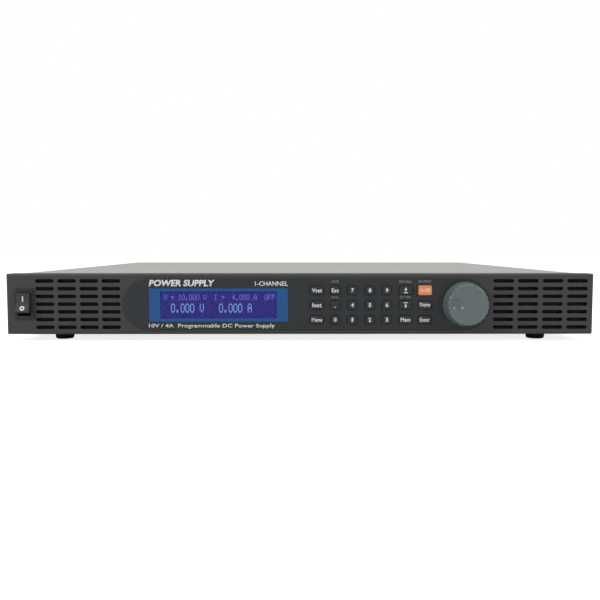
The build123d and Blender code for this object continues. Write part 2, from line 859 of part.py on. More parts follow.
def dsub_connector():
    """The nine-way D connector, with its two jack posts."""
    z = low_port_z
    shell = plate(rounded(ports_x, z, 17.0, 9.0, 2.4), room_rear - 14.0, body_depth + 5.0)
    shell += plate(rounded(ports_x, z, 30.8, 12.5, 1.0), room_rear - 1.2, room_rear)
    shell -= plate(rounded(ports_x, z, 15.8, 7.8, 2.0), body_depth, body_depth + 5.0)
    for n in range(9):
        row = 0 if n < 5 else 1
        x = ports_x + (n - 2 if row == 0 else n - 6.5) * 2.77
        shell += rod(x, z + 1.4 - 2.8 * row, 0.5, body_depth - 0.5, body_depth + 4.0)
    solids = []
    for dx in (-12.5, 12.5):
        shell -= rod(ports_x + dx, z, 1.3, room_rear - 1.2, room_rear)
        post = rod(0, 0, 1.3, room_rear - 3.0, body_depth)
        post += plate(RegularPolygon(2.8, 6), body_depth, body_depth + 4.4)
        solids.append(Pos(ports_x + dx, 0, z) * post)
    return Compound(children=[shell, *solids])


def sense_terminal_block():
    """Four-way screw terminal with wire entries to the rear and screws on top."""
    width, height = sense_size
    inner = room_rear - 12.0
    outer = body_depth + 6.0
    block_body = plate(rounded(0, 0, width, height, 0.5), inner, outer)
    flange = plate(rounded(0, 0, width + 3.0, height + 3.0, 0.8), room_rear - 1.5, room_rear)
    block_body += flange
    pitch = width / 4
    for n in range(4):
        x = (n - 1.5) * pitch
        block_body -= plate(rounded(x, -1.6, pitch - 1.3, 4.6, 0.4), body_depth - 4.0, outer)
        block_body -= Pos(x, body_depth + 3.0, height / 2) * Cylinder(1.7, 3.0)
    return Pos(sense_x, 0, room_z) * block_body


def output_insulator():
    body = plate(rounded(output_x, room_z, *output_flange, 2.0), room_rear - 4.0, room_rear)
    body += plate(rounded(output_x, room_z, *output_nose, 2.0), room_rear - 4.0, body_depth + 4.0)
    for x in bar_places():
        body -= bar_run(x, room_rear - 4.0, body_depth + 4.0)
    fin = block(output_x - 1.2, output_x + 1.2, body_depth, body_depth + output_reach - 4.0, room_z - 12, room_z + 12)
    return body + fin


def bar_places():
    return [output_x - bar_pitch / 2, output_x + bar_pitch / 2]


def bar_run(x, y0, y1):
    half = bar_thickness / 2
    return block(x - bar_width / 2, x + bar_width / 2, y0, y1, room_z - half, room_z + half)


def output_bars():
    """Two copper bars: bent down to the main board inside, drilled for a lug outside."""
    bars = []
    inner = main_rear - 6.0
    end = body_depth + output_reach
    half = bar_thickness / 2
    for x in bar_places():
        bar = bar_run(x, inner, end)
        bar += block(x - bar_width / 2, x + bar_width / 2, inner, inner + bar_thickness, board_top, room_z)
        bar -= upright(x, end - bar_width / 2, bar_hole_radius, room_z - half, room_z + half)
        corners = edges_at(bar, Axis.Y, end).filter_by(Axis.Z)
        bars.append(fillet(corners, 3.0))
    return Compound(children=bars)


# Inside
def main_board():
    board = block(-main_half, main_half, main_front, main_rear, board_under, board_top)
    for x, y in standoff_places:
        board -= upright(x, y, 1.6, board_under, board_top)
    harness_x = (keypad_left + keypad_right) / 2
    half = ribbon_width / 2 + 1.5
    y = main_front + 8.0
    return board + block(harness_x - half, harness_x + half, y - 3, y + 3, board_top, board_top + connector_height)


def standoffs():
    """Snap-in spacers: a body on the floor, and a neck and head through the board."""
    solids = []
    for x, y in standoff_places:
        spacer = upright(x, y, 3.0, floor_top, board_under)
        spacer += upright(x, y, 1.6, board_under, board_top)
        spacer += Pos(x, y, board_top + 0.8) * Cone(2.4, 1.2, 1.6)
        solids.append(spacer)
    return Compound(children=solids)


capacitor_radius = (headroom - part_gap) / 2
capacitor_front = main_front + 22.0
power_front = capacitor_front + capacitor_length + 12.0
power_rear = main_rear - 14.0
power_length = power_rear - power_front
power_mid = (power_front + power_rear) / 2
column_widths = [heatsink_width, transformer_size[0], heatsink_width, 2 * choke_radius, heatsink_width]
column_x = spread(column_widths, 2 * main_half)


def bulk_capacitors():
    """Cans lying along the depth, with a rolled groove and a vent mark in the end."""
    solids = []
    z = board_top + capacitor_radius
    y1 = capacitor_front + capacitor_length
    for x in spread([2 * capacitor_radius] * capacitor_count, 2 * main_half):
        can = rod(x, z, capacitor_radius, capacitor_front, y1)
        can = fillet(edges_at(can, Axis.Y, capacitor_front), 1.5)
        groove = Pos(x, y1 - 5.0, z) * Rot(90, 0, 0) * Torus(capacitor_radius + 0.4, 1.2)
        can -= groove
        for turn in (0, 60, 120):
            can -= Pos(x, capacitor_front, z) * Rot(0, turn, 0) * Box(1.2 * capacitor_radius, 0.8, 0.8)
        solids.append(can)
    return Compound(children=solids)


def heatsinks():
    """Extruded heatsinks: a base with upright fins."""
    solids = []
    top = lid_under - part_gap
    for x in (column_x[0], column_x[2], column_x[4]):
        half = heatsink_width / 2
        sink = block(x - half, x + half, power_front, power_rear, board_top, board_top + 4.0)
        for n in range(6):
            fin_x = x - half + 1.0 + n * (heatsink_width - 2.0) / 5
            sink += block(fin_x - 1.0, fin_x + 1.0, power_front, power_rear, board_top, top)
        solids.append(sink)
    return Compound(children=solids)


def power_transformers():
    """Two ferrite blocks with their windings showing at the sides."""
    width, depth = transformer_size
    tall = headroom - part_gap
    solids = []
    for y in spread([depth, depth], power_length, power_mid):
        core = block(-width / 2, width / 2, -depth / 4, depth / 4, 0, tall)
        coil = block(-width / 2 + 8, width / 2 - 8, -depth / 2, depth / 2, 3, tall - 3)
        coil = fillet(coil.edges().filter_by(Axis.Z), 6.0)
        solids.append(Pos(column_x[1], y, board_top) * (core + coil))
    return Compound(children=solids)


def chokes():
    """Two toroids lying flat, each with its turns of thick wire and a base plate."""
    solids = []
    section = 6.5
    for y in spread([2 * choke_radius] * 2, power_length, power_mid):
        base = Pos(0, 0, 1.0) * Cylinder(choke_radius - 3, 2.0)
        ring = Pos(0, 0, section + 2.5) * Torus(choke_radius - section - 2.0, section)
        for n in range(14):
            turn = Pos(choke_radius - section - 2.0, 0, section + 2.5) * Rot(90, 0, 0)
            ring += Rot(0, 0, n * 360 / 14) * turn * Torus(section, 1.4)
        solids.append(Pos(column_x[3], y, board_top) * (base + ring))
    return Compound(children=solids)


# Writing each sub-part
os.makedirs("parts", exist_ok=True)
shift = Pos(0, -(knob_front + body_depth + output_reach) / 2, foot_height - case_bottom)


def write(name, shape):
    export_step(shift * shape, "parts/" + name + ".step")


write("bottom_chassis", bottom_chassis())
write("top_cover", top_cover())
write("case_screws", case_screws())
write("feet", feet())
write("foot_screws", foot_screws())
write("front_bezel", front_bezel())
write("control_panel", control_panel())
write("display_window", display_window())
write("lcd_module", lcd_module())
write("keypad_mat", keypad_mat())
write("front_board", front_board())
write("ribbon_cable", ribbon_cable())
write("knob", knob())
write("encoder_shaft", encoder_shaft())
write("encoder_body", encoder_body())
write("encoder_pusher", encoder_pusher())
write("switch_housing", switch_housing())
write("rocker", rocker())
for name, x, z, size in keys:
    write("key_" + name, key_cap(x, z, size))
write("fan_frames", Compound(children=fans(fan_frame(), room_rear)))
write("fan_guards", Compound(children=fans(fan_guard(), body_depth)))
write("fan_screws", fan_screws())
for number, rotor in enumerate(fans(fan_rotor(), room_rear), 1):
    write("fan_rotor_" + str(number), rotor)
write("ac_inlet", ac_inlet())
write("ground_stud", ground_stud())
write("interface_board", interface_board())
write("usb_port", usb_port())
write("data_jacks", data_jacks())
write("dsub_connector", dsub_connector())
write("sense_terminal_block", sense_terminal_block())
write("output_insulator", output_insulator())
write("output_bars", output_bars())
write("main_board", main_board())
write("standoffs", standoffs())
write("bulk_capacitors", bulk_capacitors())
write("heatsinks", heatsinks())
write("power_transformers", power_transformers())
write("chokes", chokes())
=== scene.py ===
import math

import bmesh
import bpy
from mathutils import Euler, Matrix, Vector


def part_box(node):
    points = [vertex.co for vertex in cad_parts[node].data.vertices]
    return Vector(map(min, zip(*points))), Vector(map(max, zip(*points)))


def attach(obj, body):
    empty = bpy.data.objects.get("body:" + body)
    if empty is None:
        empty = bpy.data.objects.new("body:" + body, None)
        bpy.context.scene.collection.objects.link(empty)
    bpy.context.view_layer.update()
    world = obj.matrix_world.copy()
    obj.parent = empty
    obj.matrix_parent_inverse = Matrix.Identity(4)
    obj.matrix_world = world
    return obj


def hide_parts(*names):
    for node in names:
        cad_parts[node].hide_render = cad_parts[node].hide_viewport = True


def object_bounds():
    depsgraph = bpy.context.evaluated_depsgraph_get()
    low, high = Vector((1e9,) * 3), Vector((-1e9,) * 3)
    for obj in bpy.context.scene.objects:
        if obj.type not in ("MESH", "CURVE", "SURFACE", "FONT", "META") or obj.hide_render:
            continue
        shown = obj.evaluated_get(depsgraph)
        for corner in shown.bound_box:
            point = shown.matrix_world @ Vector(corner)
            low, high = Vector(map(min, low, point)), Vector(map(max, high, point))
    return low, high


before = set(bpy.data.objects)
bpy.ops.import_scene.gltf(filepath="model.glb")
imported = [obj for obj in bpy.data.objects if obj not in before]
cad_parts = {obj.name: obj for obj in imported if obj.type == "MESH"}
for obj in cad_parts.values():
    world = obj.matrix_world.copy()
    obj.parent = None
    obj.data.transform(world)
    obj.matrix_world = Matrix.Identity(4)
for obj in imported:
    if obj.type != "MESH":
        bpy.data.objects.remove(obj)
cad_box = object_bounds()

# ---------------------------------------------------------------------------------------------
# Studio: pale seamless paper under a white surround, one wide soft box above, one at each
# side, and a camera a little above the cover that looks slightly down at the middle of the
# front. Places on the front are given in millimetres from its middle and its lower edge.
MM = 0.001
FRONT_FACE_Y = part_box("front_bezel")[0].y
FRONT_EDGE_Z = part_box("front_bezel")[0].z


def on_front(x, z, y=FRONT_FACE_Y):
    return Vector((x * MM, y, FRONT_EDGE_Z + z * MM))


def mesh_from(name, faces):
    """A mesh from lists of corner points, one list for each face."""
    mesh = bpy.data.meshes.new(name)
    points = [tuple(point) for face in faces for point in face]
    numbers = iter(range(len(points)))
    mesh.from_pydata(points, [], [[next(numbers) for _ in face] for face in faces])
    return mesh


def show_to_camera(tree, seen, felt):
    """A brightness that the camera sees as one value and the light in the room as another."""
    ray = tree.nodes.new("ShaderNodeLightPath")
    choice = tree.nodes.new("ShaderNodeMix")
    choice.inputs["A"].default_value = felt
    choice.inputs["B"].default_value = seen
    tree.links.new(ray.outputs["Is Camera Ray"], choice.inputs["Factor"])
    return choice.outputs["Result"]


PAPER_REACH = 6.0
PAPER_GLOW = 0.82
SURROUND_SEEN = 1.0
SURROUND_FELT = 0.33
paper_corners = [
    (sx * PAPER_REACH, sy * PAPER_REACH, cad_box[0][2])
    for sx, sy in ((-1, -1), (1, -1), (1, 1), (-1, 1))
]
paper = bpy.data.objects.new("studio_paper", mesh_from("studio_paper", [paper_corners]))
bpy.context.scene.collection.objects.link(paper)
paper_white = bpy.data.materials.new("paper_white")
paper_white.use_nodes = True
paper_shader = paper_white.node_tree.nodes["Principled BSDF"]
paper_shader.inputs["Base Color"].default_value = (0.8, 0.8, 0.8, 1)
paper_shader.inputs["Roughness"].default_value = 0.95
paper_shader.inputs["Specular IOR Level"].default_value = 0.0
paper_shader.inputs["Emission Color"].default_value = (1, 1, 1, 1)
paper_white.node_tree.links.new(
    show_to_camera(paper_white.node_tree, PAPER_GLOW, 0.0), paper_shader.inputs["Emission Strength"]
)
paper.data.materials.append(paper_white)

surround = bpy.data.worlds.new("studio_surround")
surround.use_nodes = True
surround_shader = surround.node_tree.nodes["Background"]
surround_shader.inputs["Color"].default_value = (1, 1, 1, 1)
surround.node_tree.links.new(
    show_to_camera(surround.node_tree, SURROUND_SEEN, SURROUND_FELT),
    surround_shader.inputs["Strength"],
)
bpy.context.scene.world = surround

for box_name, place, aim, size, power in (
    ("top_box", (0.0, 0.1, 1.5), (0, 0, 0), (2.2, 1.4), 13.0),
    ("left_box", (-1.5, -1.3, 1.0), (-0.1, -0.2, 0), (0.7, 0.9), 12.0),
    ("right_box", (1.5, -1.2, 1.0), (0.1, -0.2, 0), (0.6, 0.9), 8.0),
):
    lamp = bpy.data.lights.new(box_name, "AREA")
    lamp.shape = "RECTANGLE"
    lamp.size, lamp.size_y = size
    lamp.energy = power
    soft_box = bpy.data.objects.new(box_name, lamp)
    soft_box.location = place
    soft_box.rotation_euler = (Vector(aim) - Vector(place)).to_track_quat("-Z", "Y").to_euler()
    bpy.context.scene.collection.objects.link(soft_box)

CAMERA_SIDE = -3.1
CAMERA_HEIGHT = 62.3
CAMERA_DISTANCE = 528.0
CAMERA_DOWN = 4.07
CAMERA_TURN = -0.30
lens = bpy.data.cameras.new("studio_camera")
lens.lens = 44.24
lens.sensor_width = 36.0
camera = bpy.data.objects.new("studio_camera", lens)
camera.location = on_front(CAMERA_SIDE, CAMERA_HEIGHT, FRONT_FACE_Y - CAMERA_DISTANCE * MM)
camera.rotation_euler = Euler((math.radians(90 - CAMERA_DOWN), 0, math.radians(CAMERA_TURN)), "XYZ")
bpy.context.scene.collection.objects.link(camera)
bpy.context.scene.camera = camera
bpy.context.scene.view_settings.view_transform = "Standard"


# ---------------------------------------------------------------------------------------------
# Tray and cover: folded sheet steel, sprayed with a light warm grey powder coat whose skin has
# a fine pebble. The cover slides over the tray and countersunk zinc screws hold its sides.
def new_group(name, inputs):
    """An empty effect with named inputs, and a colour, a roughness and a height coming out."""
    group = bpy.data.node_groups.new(name, "ShaderNodeTree")
    for label, kind, value in inputs:
        group.interface.new_socket(label, in_out="INPUT", socket_type=kind).default_value = value
    group.interface.new_socket("Color", in_out="OUTPUT", socket_type="NodeSocketColor")
    for label in ("Roughness", "Height"):
        group.interface.new_socket(label, in_out="OUTPUT", socket_type="NodeSocketFloat")
    return group


def work_out(tree, operation, *values):
    """One step of arithmetic on sockets or plain numbers."""
    node = tree.nodes.new("ShaderNodeMath")
    node.operation = operation
    for socket, value in zip(node.inputs, values):
        if isinstance(value, (int, float)):
            socket.default_value = value
        else:
            tree.links.new(value, socket)
    return node.outputs["Value"]


def swing(tree, place, scale, amount, detail=2.0, stretch=(1.0, 1.0, 1.0)):
    """Noise about zero, as strong as the amount says, and the plain noise."""
    mapping = tree.nodes.new("ShaderNodeMapping")
    mapping.inputs["Scale"].default_value = stretch
    tree.links.new(place, mapping.inputs["Vector"])
    noise = tree.nodes.new("ShaderNodeTexNoise")
    noise.inputs["Detail"].default_value = detail
    if isinstance(scale, (int, float)):
        noise.inputs["Scale"].default_value = scale
    else:
        tree.links.new(scale, noise.inputs["Scale"])
    tree.links.new(mapping.outputs["Vector"], noise.inputs["Vector"])
    plain = noise.outputs["Fac"]
    return work_out(tree, "MULTIPLY", work_out(tree, "SUBTRACT", plain, 0.5), amount), plain


def shaded(tree, color, *swings):
    """A colour made lighter or darker by swings about zero."""
    bright = 1.0
    for part in swings:
        bright = work_out(tree, "ADD", part, bright)
    scale = tree.nodes.new("ShaderNodeVectorMath")
    scale.operation = "SCALE"
    tree.links.new(color, scale.inputs[0])
    tree.links.new(bright, scale.inputs["Scale"])
    return scale.outputs["Vector"]


def build_moulded_grain():
    """Fine grain of a moulding or a sprayed coat, with faint wider patches in tone and gloss."""
    group = new_group("moulded_grain", [
        ("Color", "NodeSocketColor", (0.5, 0.5, 0.5, 1)),
        ("Patchiness", "NodeSocketFloat", 0.08),
        ("Grain Scale", "NodeSocketFloat", 1800.0),
        ("Grain Tint", "NodeSocketFloat", 0.1),
        ("Roughness", "NodeSocketFloat", 0.5),
        ("Roughness Spread", "NodeSocketFloat", 0.08),
    ])
    given = group.nodes.new("NodeGroupInput").outputs
    result = group.nodes.new("NodeGroupOutput").inputs
    place = group.nodes.new("ShaderNodeTexCoord").outputs["Object"]
    fine, relief = swing(group, place, given["Grain Scale"], given["Grain Tint"], detail=3.0)
    wide = swing(group, place, 14.0, given["Patchiness"], detail=3.0)[0]
    gloss = swing(group, place, 22.0, given["Roughness Spread"], detail=3.0)[0]
    group.links.new(shaded(group, given["Color"], fine, wide), result["Color"])
    group.links.new(work_out(group, "ADD", gloss, given["Roughness"]), result["Roughness"])
    group.links.new(relief, result["Height"])
    return group


MOULDED_GRAIN = build_moulded_grain()


RELIEF_DEPTH = 0.05 * MM


def surfaced(name, effect, values, bump, **fixed):
    """A material whose colour, roughness and relief come from one shared effect."""
    material = bpy.data.materials.new(name)
    material.use_nodes = True
    tree = material.node_tree
    shader = tree.nodes["Principled BSDF"]
    for label, value in fixed.items():
        shader.inputs[label.replace("_", " ").title().replace("Ior", "IOR")].default_value = value
    surface = tree.nodes.new("ShaderNodeGroup")
    surface.node_tree = effect
    for label, value in values.items():
        surface.inputs[label].default_value = value
    tree.links.new(surface.outputs["Color"], shader.inputs["Base Color"])
    tree.links.new(surface.outputs["Roughness"], shader.inputs["Roughness"])
    relief = tree.nodes.new("ShaderNodeBump")
    relief.inputs["Strength"].default_value = bump
    relief.inputs["Distance"].default_value = RELIEF_DEPTH
    tree.links.new(surface.outputs["Height"], relief.inputs["Height"])
    tree.links.new(relief.outputs["Normal"], shader.inputs["Normal"])
    return material


def moulded(name, color, roughness, tint=0.10, patch=0.08, scale=1800.0, bump=0.25, **fixed):
    """A moulded, sprayed or printed finish."""
    values = {
        "Color": (*color, 1),
        "Patchiness": patch,
        "Grain Scale": scale,
        "Grain Tint": tint,
        "Roughness": roughness,
    }
    return surfaced(name, MOULDED_GRAIN, values, bump, **fixed)


def dress(material, *nodes):
    """Gives CAD nodes one material."""
    for node in nodes:
        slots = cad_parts[node].data.materials
        slots.clear()
        slots.append(material)


for coat_name, color, roughness, tint, patch, node in (
    ("cover_coat", (0.56, 0.55, 0.515), 0.40, 0.05, 0.03, "top_cover"),
    ("tray_coat", (0.52, 0.51, 0.48), 0.45, 0.06, 0.04, "bottom_chassis"),
):
    dress(moulded(coat_name, color, roughness, tint, patch, scale=1400.0, bump=0.35), node)


# ---------------------------------------------------------------------------------------------
# Screws: zinc-plated steel, turned and bright, with the drawn wire's streaks in the plating.
# They hold the cover, the bezel, the feet and the fans.
def build_drawn_metal():
    """Long fine streaks along the depth, as drawing or rolling leaves, under a soft clouding."""
    group = new_group("drawn_metal", [
        ("Color", "NodeSocketColor", (0.6, 0.6, 0.6, 1)),
        ("Streak Tint", "NodeSocketFloat", 0.12),
        ("Roughness", "NodeSocketFloat", 0.35),
        ("Roughness Spread", "NodeSocketFloat", 0.15),
    ])
    given = group.nodes.new("NodeGroupInput").outputs
    result = group.nodes.new("NodeGroupOutput").inputs
    place = group.nodes.new("ShaderNodeTexCoord").outputs["Object"]
    lengthwise = (1.0, 0.04, 1.0)
    streak, relief = swing(group, place, 900.0, given["Streak Tint"], stretch=lengthwise)
    cloudy = swing(group, place, 40.0, given["Streak Tint"], detail=4.0)[0]
    gloss = swing(group, place, 60.0, given["Roughness Spread"], detail=4.0)[0]
    group.links.new(shaded(group, given["Color"], streak, cloudy), result["Color"])
    group.links.new(work_out(group, "ADD", gloss, given["Roughness"]), result["Roughness"])
    group.links.new(relief, result["Height"])
    return group


DRAWN_METAL = build_drawn_metal()


def drawn(name, color, roughness, streak=0.12, bump=0.15):
    """A bare or plated metal."""
    values = {"Color": (*color, 1), "Streak Tint": streak, "Roughness": roughness}
    return surfaced(name, DRAWN_METAL, values, bump, metallic=1.0)


dress(drawn("screw_zinc", (0.55, 0.55, 0.53), 0.32), "case_screws", "foot_screws", "fan_screws")

# ---------------------------------------------------------------------------------------------
# Feet: moulded black rubber, dull and a little mottled, screwed under the tray with the
# heads of the screws sunk in them.
foot_rubber = moulded(
    "foot_rubber", (0.013, 0.013, 0.014), 0.7, tint=0.3, patch=0.3, scale=900.0, bump=0.5
)
dress(foot_rubber, "feet")

# ---------------------------------------------------------------------------------------------
# Front bezel: one charcoal moulding with a fine spark-eroded grain, its edge rounded over all
# round. Rows of vent slots go through it at both ends.
dress(
    moulded("bezel_plastic", (0.050, 0.056, 0.055), 0.46, tint=0.14, patch=0.14, scale=1500.0,
            specular_ior_level=0.45),
    "front_bezel",
)


# ---------------------------------------------------------------------------------------------
# Painted shade behind the vent slots: black pads with a pitted relief like open-cell foam, put
# in behind the slots so that they look dark, where the real slots show only the shade inside.
SHADE_PAD_FRONT = 3.2
SHADE_PAD_PITS = 0.9
SHADE_PAD_DEPTH = 3.0
SHADE_PAD_CELL = 1.1
SHADE_PAD_EDGE = 2.8
SHADE_PAD_SWITCH_GAP = 0.2
SHADE_PAD_PANEL_GAP = 0.5


def shade_pad_mesh(x0, x1, z0, z1):
    """A pad whose front is a net of points, pushed in and out like cut foam."""
    back = FRONT_FACE_Y + (SHADE_PAD_FRONT + SHADE_PAD_DEPTH) * MM
    columns = int((x1 - x0) / SHADE_PAD_CELL)
    rows = int((z1 - z0) / SHADE_PAD_CELL)
    work = bmesh.new()
    net = []
    for row in range(rows + 1):
        line = []
        for column in range(columns + 1):
            pit = math.sin(column * 12.9898 + row * 78.233) * 43758.5453
            depth = SHADE_PAD_FRONT + SHADE_PAD_PITS * (pit - math.floor(pit))
            x = x0 + (x1 - x0) * column / columns
            z = z0 + (z1 - z0) * row / rows
            line.append(work.verts.new(on_front(x, z, FRONT_FACE_Y + depth * MM)))
        net.append(line)
    for row in range(rows):
        for column in range(columns):
            low, high = net[row], net[row + 1]
            work.faces.new((low[column], low[column + 1], high[column + 1], high[column]))
    rim = [edge for edge in work.edges if edge.is_boundary]
    sides = bmesh.ops.extrude_edge_only(work, edges=rim)["geom"]
    for vert in [part for part in sides if isinstance(part, bmesh.types.BMVert)]:
        vert.co.y = back
    bmesh.ops.holes_fill(work, edges=[edge for edge in work.edges if edge.is_boundary])
    bmesh.ops.recalc_face_normals(work, faces=work.faces)
    mesh = bpy.data.meshes.new("shade_pad_mesh")
    work.to_mesh(mesh)
    work.free()
    return mesh


def add_piece(name, mesh, material, body):
    """A piece of the object's own, which rides on one of its bodies."""
    mesh.materials.clear()
    mesh.materials.append(material)
    piece = bpy.data.objects.new(name, mesh)
    bpy.context.scene.collection.objects.link(piece)
    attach(piece, body)
    return piece


# Near-black pad colour: painted shade standing in for the dark inside of the vent slots.
shade_pad_foam = moulded("shade_pad_foam", (0.020, 0.021, 0.022), 0.9, tint=0.5, scale=2500.0, bump=0.8)
bezel_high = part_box("front_bezel")[1]
panel_low, panel_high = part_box("control_panel")
SHADE_PAD_TOP = (bezel_high.z - FRONT_EDGE_Z) / MM - SHADE_PAD_EDGE
left_pad = shade_pad_mesh(
    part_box("switch_housing")[1].x / MM + SHADE_PAD_SWITCH_GAP, panel_low.x / MM + SHADE_PAD_PANEL_GAP,
    SHADE_PAD_EDGE, SHADE_PAD_TOP,
)
add_piece("shade_pad_left", left_pad, shade_pad_foam, "case")
right_pad = shade_pad_mesh(
    panel_high.x / MM - SHADE_PAD_PANEL_GAP, bezel_high.x / MM - SHADE_PAD_EDGE, SHADE_PAD_EDGE, SHADE_PAD_TOP
)
add_piece("shade_pad_right", right_pad, shade_pad_foam, "case")

# ---------------------------------------------------------------------------------------------
# Control panel: a smoother, darker moulding with round ends, set in so that it stands one
# millimetre proud of the bezel. It carries the lettering, which is screen-printed.
RAISED_FACE_Y = panel_low.y
INK_GAP = 0.005 * MM
INK_DEPTH = 0.04 * MM
panel_plastic = moulded(
    "panel_plastic", (0.029, 0.033, 0.037), 0.42, tint=0.10, patch=0.06, scale=2200.0, bump=0.15,
    specular_ior_level=0.4,
)
dress(panel_plastic, "control_panel")


def type_mesh(words, x0, x1, z0, z1, y, weight=0.0, lean=0.0, facing=-1):
    """Plain type that fills a box, read from the front (facing -1) or from the rear (1)."""
    curve = bpy.data.curves.new("type", "FONT")
    curve.body = words
    curve.offset = weight
    curve.shear = lean
    curve.resolution_u = 3
    setter = bpy.data.objects.new("type", curve)
    bpy.context.scene.collection.objects.link(setter)
    bpy.context.view_layer.update()
    mesh = bpy.data.meshes.new_from_object(setter)
    bpy.data.objects.remove(setter)
    xs = [vert.co.x for vert in mesh.vertices]
    ys = [vert.co.y for vert in mesh.vertices]
    wide, high = max(xs) - min(xs), max(ys) - min(ys)
    for vert in mesh.vertices:
        along = (vert.co.x - min(xs) if facing < 0 else max(xs) - vert.co.x) / wide
        up = (vert.co.y - min(ys)) / high
        vert.co = on_front(x0 + along * (x1 - x0), z0 + up * (z1 - z0), y + facing * INK_GAP)
    return mesh


def inked(meshes, outwards):
    """Flat shapes joined, and given the thickness of a coat of ink."""
    work = bmesh.new()
    for mesh in meshes:
        work.from_mesh(mesh)
    bmesh.ops.remove_doubles(work, verts=work.verts, dist=1e-6)
    bmesh.ops.recalc_face_normals(work, faces=work.faces)
    made = bmesh.ops.extrude_face_region(work, geom=list(work.faces))["geom"]
    raised = [part for part in made if isinstance(part, bmesh.types.BMVert)]
    bmesh.ops.translate(work, verts=raised, vec=Vector(outwards) * INK_DEPTH)
    bmesh.ops.recalc_face_normals(work, faces=work.faces)
    mesh = bpy.data.meshes.new("ink")
    work.to_mesh(mesh)
    work.free()
    return mesh


def ink(name, color):
    return moulded(name, color, 0.55, tint=0.08, patch=0.05, scale=3000.0, bump=0.1)


white_ink = ink("white_ink", (0.90, 0.91, 0.92))
grey_ink = ink("grey_ink", (0.32, 0.33, 0.34))
FORWARDS = (0, -1, 0)
for piece_name, lines, colour, weight, lean in (
    ("title_print", [("POWER SUPPLY", -108.4, -61.2, 34.6, 39.3)], white_ink, 0.035, 0.15),
    (
        "range_print",
        [
            ("1-CHANNEL", -32.6, -9.0, 34.9, 38.2),
            ("10V / 4A  Programmable DC Power Supply", -108.7, -18.4, 4.2, 7.7),
        ],
        white_ink, 0.012, 0.0,
    ),
    (
        "small_print",
        [
            ("CLR", 22.2, 27.6, 37.1, 38.9),
            ("RECALL", 70.9, 79.7, 37.1, 38.9),
            ("OUTPUT", 84.5, 93.9, 37.1, 38.9),
            ("LCL", 22.5, 27.2, 26.0, 27.8),
            ("STORE", 71.5, 79.1, 26.0, 27.8),
        ],
        grey_ink, 0.01, 0.0,
    ),
):
    words = [type_mesh(*line, RAISED_FACE_Y, weight, lean) for line in lines]
    add_piece(piece_name, inked(words, FORWARDS), colour, "case")

# ---------------------------------------------------------------------------------------------
# Display window: clear acrylic, printed blue on its back round the opening. The print turns in
# to the edge of the opening, so that it looks like a shallow blue well in front of the glass.
window_low, window_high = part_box("display_window")
GLASS_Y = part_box("lcd_module")[0].y
WINDOW_X = (window_low.x + window_high.x) / 2 / MM
WINDOW_Z = ((window_low.z + window_high.z) / 2 - FRONT_EDGE_Z) / MM
WINDOW_WIDTH = (window_high.x - window_low.x) / MM
WINDOW_HEIGHT = (window_high.z - window_low.z) / MM
SCREEN_WIDTH = 83.6
SCREEN_HEIGHT = 19.7
SCREEN_RADIUS = 0.5


def window_loop(width, height, radius, y, steps=5):
    """Points round a rectangle with round corners."""
    points = []
    for corner, (sx, sz) in enumerate(((1, 1), (-1, 1), (-1, -1), (1, -1))):
        for step in range(steps + 1):
            turn = math.radians(90 * (corner + step / steps))
            x = WINDOW_X + sx * (width / 2 - radius) + radius * math.cos(turn)
            z = WINDOW_Z + sz * (height / 2 - radius) + radius * math.sin(turn)
            points.append(on_front(x, z, y))
    return points


def window_border():
    """The printed border, from the window's back round its edge and in to the glass."""
    work = bmesh.new()
    face = window_low.y
    rounds = []
    for width, height, radius, y in (
        (WINDOW_WIDTH, WINDOW_HEIGHT, 0.6, window_high.y),
        (WINDOW_WIDTH, WINDOW_HEIGHT, 0.6, face + 0.1 * MM),
        (WINDOW_WIDTH - 0.2, WINDOW_HEIGHT - 0.2, 0.5, face),
        (SCREEN_WIDTH + 0.3, SCREEN_HEIGHT + 0.3, SCREEN_RADIUS, face),
        (SCREEN_WIDTH, SCREEN_HEIGHT, SCREEN_RADIUS, face + 0.15 * MM),
        (SCREEN_WIDTH, SCREEN_HEIGHT, SCREEN_RADIUS, GLASS_Y - 0.02 * MM),
    ):
        rounds.append([work.verts.new(point) for point in window_loop(width, height, radius, y)])
    count = len(rounds[0])
    for outer, inner in zip(rounds, rounds[1:]):
        for n in range(count):
            after = (n + 1) % count
            work.faces.new((outer[n], outer[after], inner[after], inner[n]))
    bmesh.ops.recalc_face_normals(work, faces=work.faces)
    mesh = bpy.data.meshes.new("window_border")
    work.to_mesh(mesh)
    work.free()
    return mesh


border_print = moulded(
    "border_print", (0.006, 0.095, 0.30), 0.35, tint=0.06, patch=0.10, scale=2600.0, bump=0.05
)
border = add_piece("window_border", window_border(), border_print, "case")
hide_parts("display_window")
pane_acrylic = moulded(
    "pane_acrylic", (0.8, 0.85, 0.95), 0.08, tint=0.0, patch=0.02, bump=0.0, alpha=0.035
)
PANE_SINK = 0.5
pane_loop = window_loop(SCREEN_WIDTH, SCREEN_HEIGHT, SCREEN_RADIUS, window_low.y + PANE_SINK * MM)
pane = mesh_from("window_pane", [pane_loop])
add_piece("window_pane", pane, pane_acrylic, "case")


# ---------------------------------------------------------------------------------------------
# Display: liquid-crystal glass lit from behind in violet blue, with a row of small characters
# for the settings and a row of larger, brighter ones for the readings, all made of dots.
def lit(name, color, mottle=0.08):
    """A glowing face, a little uneven, under glass."""
    material = moulded(
        name, (0.004, 0.004, 0.010), 0.5, bump=0.02, specular_ior_level=0.0, emission_strength=1.0
    )
    tree = material.node_tree
    glow = tree.nodes.new("ShaderNodeGroup")
    glow.node_tree = MOULDED_GRAIN
    glow.inputs["Color"].default_value = (*color, 1)
    glow.inputs["Patchiness"].default_value = 2 * mottle
    glow.inputs["Grain Scale"].default_value = 45.0
    glow.inputs["Grain Tint"].default_value = mottle
    tree.links.new(glow.outputs["Color"], tree.nodes["Principled BSDF"].inputs["Emission Color"])
    return material


